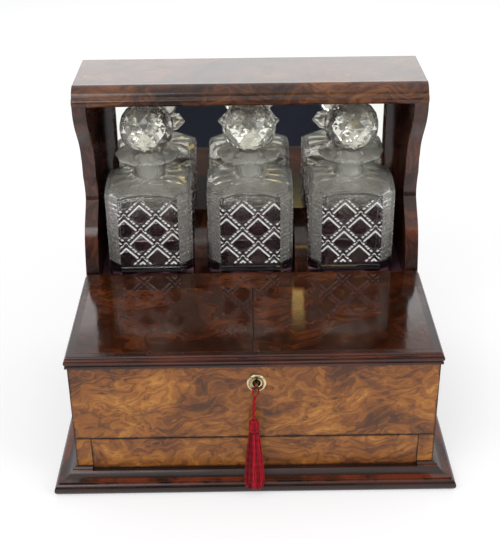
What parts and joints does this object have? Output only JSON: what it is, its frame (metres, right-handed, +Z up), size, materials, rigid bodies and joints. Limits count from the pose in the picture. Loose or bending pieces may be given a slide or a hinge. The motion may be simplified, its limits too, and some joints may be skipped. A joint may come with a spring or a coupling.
{
  "type": "antique tantalus",
  "caption": "Walnut tantalus: square cut-glass decanters held under a mirror-backed canopy behind a lidded box with a key lock, a tassel and a hidden sprung drawer.",
  "frame": {"origin": "centre of the plinth's footprint on the surface it stands on", "axes": "+X to the object's right as seen from its front, +Y to its back, +Z up"},
  "size_m": [0.374, 0.2824, 0.3322],
  "materials": {
    "burr_veneer": "polished burr walnut veneer",
    "lid_veneer": "high-gloss french-polished burr walnut",
    "dark_moulding": "polished dark stained walnut",
    "upper_walnut": "polished walnut",
    "carcass": "satin secondary wood",
    "brass": "lacquered brass",
    "spring_steel": "blued spring steel",
    "cut_glass": "polished lead crystal",
    "silvered_mirror": "silvered plate glass",
    "plum_lining": "plum baize",
    "crimson_silk": "crimson silk thread"
  },
  "bodies": {
    "case": {"base_board": "carcass", "plinth_front": "dark_moulding", "plinth_left": "dark_moulding", "plinth_right": "dark_moulding", "plinth_back": "carcass", "case_front_panel": "burr_veneer", "case_left_side": "upper_walnut", "case_right_side": "upper_walnut", "case_back": "carcass", "drawer_stiles": "burr_veneer", "drawer_guides": "carcass", "compartment_floor": "carcass", "compartment_divider": "carcass", "inner_partition": "carcass", "decanter_deck": "carcass", "deck_lining": "plum_lining", "retaining_flap": "lid_veneer", "flap_end_mouldings": "dark_moulding", "flap_hinges": "brass", "left_end_board": "upper_walnut", "right_end_board": "upper_walnut", "canopy": "upper_walnut", "mirror_back_board": "carcass", "mirror_glass": "silvered_mirror", "mirror_frame": "upper_walnut", "well_dividers": "upper_walnut", "hinge_case_leaves": "brass", "hinge_pins": "brass", "lock_case": "brass", "lock_cap": "brass", "escutcheon": "brass", "button_spring": "spring_steel", "ejector_spring": "spring_steel"},
    "left_lid": {"left_lid_panel": "lid_veneer", "left_lid_front_moulding": "dark_moulding", "left_lid_side_moulding": "dark_moulding", "left_hinge_leaves": "brass", "left_link_plate": "brass"},
    "right_lid": {"right_lid_panel": "lid_veneer", "right_lid_front_moulding": "dark_moulding", "right_lid_side_moulding": "dark_moulding", "right_hinge_leaves": "brass", "right_link_plate": "brass"},
    "drawer": {"drawer_front": "burr_veneer", "drawer_sides": "carcass", "drawer_bottom": "carcass", "drawer_back": "carcass", "catch_spring": "spring_steel"},
    "key": {"key": "brass", "lock_barrel": "brass"},
    "bolt": {"lock_bolt": "brass"},
    "button": {"release_button": "brass"},
    "tassel": {"tassel_cord": "crimson_silk", "tassel": "crimson_silk"},
    "left_decanter": {"decanter_left": "cut_glass"},
    "left_stopper": {"stopper_left": "cut_glass"},
    "centre_decanter": {"decanter_centre": "cut_glass"},
    "centre_stopper": {"stopper_centre": "cut_glass"},
    "right_decanter": {"decanter_right": "cut_glass"},
    "right_stopper": {"stopper_right": "cut_glass"}
  },
  "joints": [
    {"name": "left_lid_hinge", "type": "hinge", "parent": "case", "child": "left_lid", "pos_m": [-0.1689, -0.0565, 0.1295], "axis": [0, -1, 0], "range_deg": [0, 98]},
    {"name": "right_lid_hinge", "type": "hinge", "parent": "case", "child": "right_lid", "pos_m": [0.1689, -0.0565, 0.1295], "axis": [0, 1, 0], "range_deg": [0, 98]},
    {"name": "drawer_slide", "type": "slide", "parent": "case", "child": "drawer", "axis": [0, -1, 0], "range_m": [0, 0.13], "deforming": ["catch_spring", "tassel", "tassel_cord"]},
    {"name": "key_turn", "type": "hinge", "parent": "case", "child": "key", "pos_m": [0.002, -0.118, 0.1113], "axis": [0, 1, 0], "range_deg": [0, 90], "deforming": ["tassel_cord"]},
    {"name": "bolt_slide", "type": "slide", "parent": "case", "child": "bolt", "axis": [1, 0, 0], "range_m": [0, 0.00641]},
    {"name": "button_press", "type": "slide", "parent": "case", "child": "button", "axis": [0, 0, -1], "range_m": [0, 0.0025], "stiffness_N_per_m": 250, "springref_m": -0.003, "deforming": ["button_spring", "catch_spring"]},
    {"name": "tassel_swing", "type": "hinge", "parent": "case", "child": "tassel", "pos_m": [-0.0006, -0.124, 0.1077], "axis": [-1, 0, 0], "range_deg": [0, 60], "deforming": ["tassel_cord"]},
    {"name": "left_decanter_lift", "type": "slide", "parent": "case", "child": "left_decanter", "axis": [0, 0, 1], "range_m": [0, 0.0025]},
    {"name": "left_stopper_lift", "type": "slide", "parent": "left_decanter", "child": "left_stopper", "axis": [0, 0, 1], "range_m": [0, 0.002]},
    {"name": "centre_decanter_lift", "type": "slide", "parent": "case", "child": "centre_decanter", "axis": [0, 0, 1], "range_m": [0, 0.0025]},
    {"name": "centre_stopper_lift", "type": "slide", "parent": "centre_decanter", "child": "centre_stopper", "axis": [0, 0, 1], "range_m": [0, 0.002]},
    {"name": "right_decanter_lift", "type": "slide", "parent": "case", "child": "right_decanter", "axis": [0, 0, 1], "range_m": [0, 0.0025]},
    {"name": "right_stopper_lift", "type": "slide", "parent": "right_decanter", "child": "right_stopper", "axis": [0, 0, 1], "range_m": [0, 0.002]}
  ],
  "couplings": [
    {"joint": "bolt_slide", "follows": "key_turn", "m_per_rad": 0.0040744}
  ]
}
